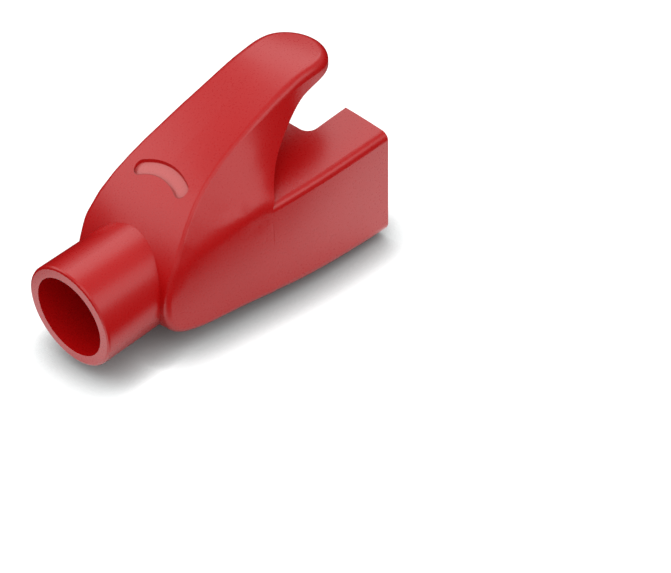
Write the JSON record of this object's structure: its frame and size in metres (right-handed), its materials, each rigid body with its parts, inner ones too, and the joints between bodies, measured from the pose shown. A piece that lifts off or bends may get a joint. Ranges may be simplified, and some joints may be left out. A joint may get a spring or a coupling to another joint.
{
  "type": "rj45 strain relief boot",
  "caption": "One-piece soft boot that slides over the end of a patch cord: box-shaped plug pocket, round cable sleeve and a hooked guard arching over the plug's catch.",
  "frame": {"origin": "middle of the bounding box's bottom face: on the symmetry plane, half way along, level with the lowest line of the back", "axes": "+X out of the plug mouth, +Z from the plain back to the latch side with the hook, +Y across; the XZ plane is the plane of symmetry"},
  "size_m": [0.0268, 0.0148, 0.0162],
  "materials": {
    "red_pvc": "semi-matte injection-moulded soft PVC, red"
  },
  "bodies": {
    "root": {"boot": "red_pvc"}
  },
  "joints": []
}
